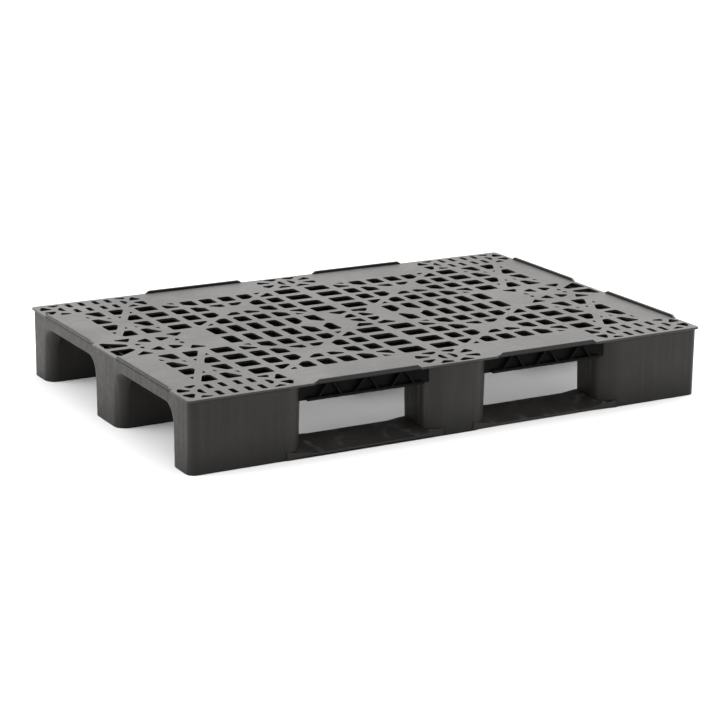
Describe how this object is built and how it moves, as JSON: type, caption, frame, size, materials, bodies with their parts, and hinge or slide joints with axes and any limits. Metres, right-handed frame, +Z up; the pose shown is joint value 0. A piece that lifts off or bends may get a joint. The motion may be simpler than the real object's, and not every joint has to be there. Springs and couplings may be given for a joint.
{
  "type": "plastic pallet",
  "caption": "Rackable plastic pallet: a flat vented deck with low edge rims on hollow blocks, joined by long runners, with fork openings on all four sides.",
  "frame": {"origin": "on the floor, under the centre of the deck", "axes": "+X along the long side, +Y to the back long side, +Z up"},
  "size_m": [1.2, 0.8, 0.1565],
  "materials": {
    "deck": "fine matte moulded top, slightly worn",
    "underside_ribs": "matte moulded ribs",
    "block": "matte moulded walls, faint vertical draw marks",
    "arch": "matte moulded walls, faint vertical draw marks",
    "skirt": "matte moulded ribs",
    "rim": "satin moulded bead",
    "runner": "matte, scuffed",
    "pin": "matte"
  },
  "bodies": {
    "root": {"deck_plate": "deck", "deck_ribs": "underside_ribs", "block_centre": "block", "block_front_middle": "block", "block_back_middle": "block", "block_front_left": "block", "block_front_right": "block", "block_back_left": "block", "block_back_right": "block", "block_left_middle": "block", "block_right_middle": "block", "runner_front": "runner", "runner_centre": "runner", "runner_back": "runner", "arch_left_front": "arch", "rim_left_front": "rim", "arch_left_back": "arch", "rim_left_back": "rim", "arch_right_front": "arch", "rim_right_front": "rim", "arch_right_back": "arch", "rim_right_back": "rim", "skirt_front_left": "skirt", "rim_front_left": "rim", "skirt_front_right": "skirt", "rim_front_right": "rim", "skirt_back_left": "skirt", "rim_back_left": "rim", "skirt_back_right": "skirt", "rim_back_right": "rim", "snap_pins": "pin"}
  },
  "joints": []
}
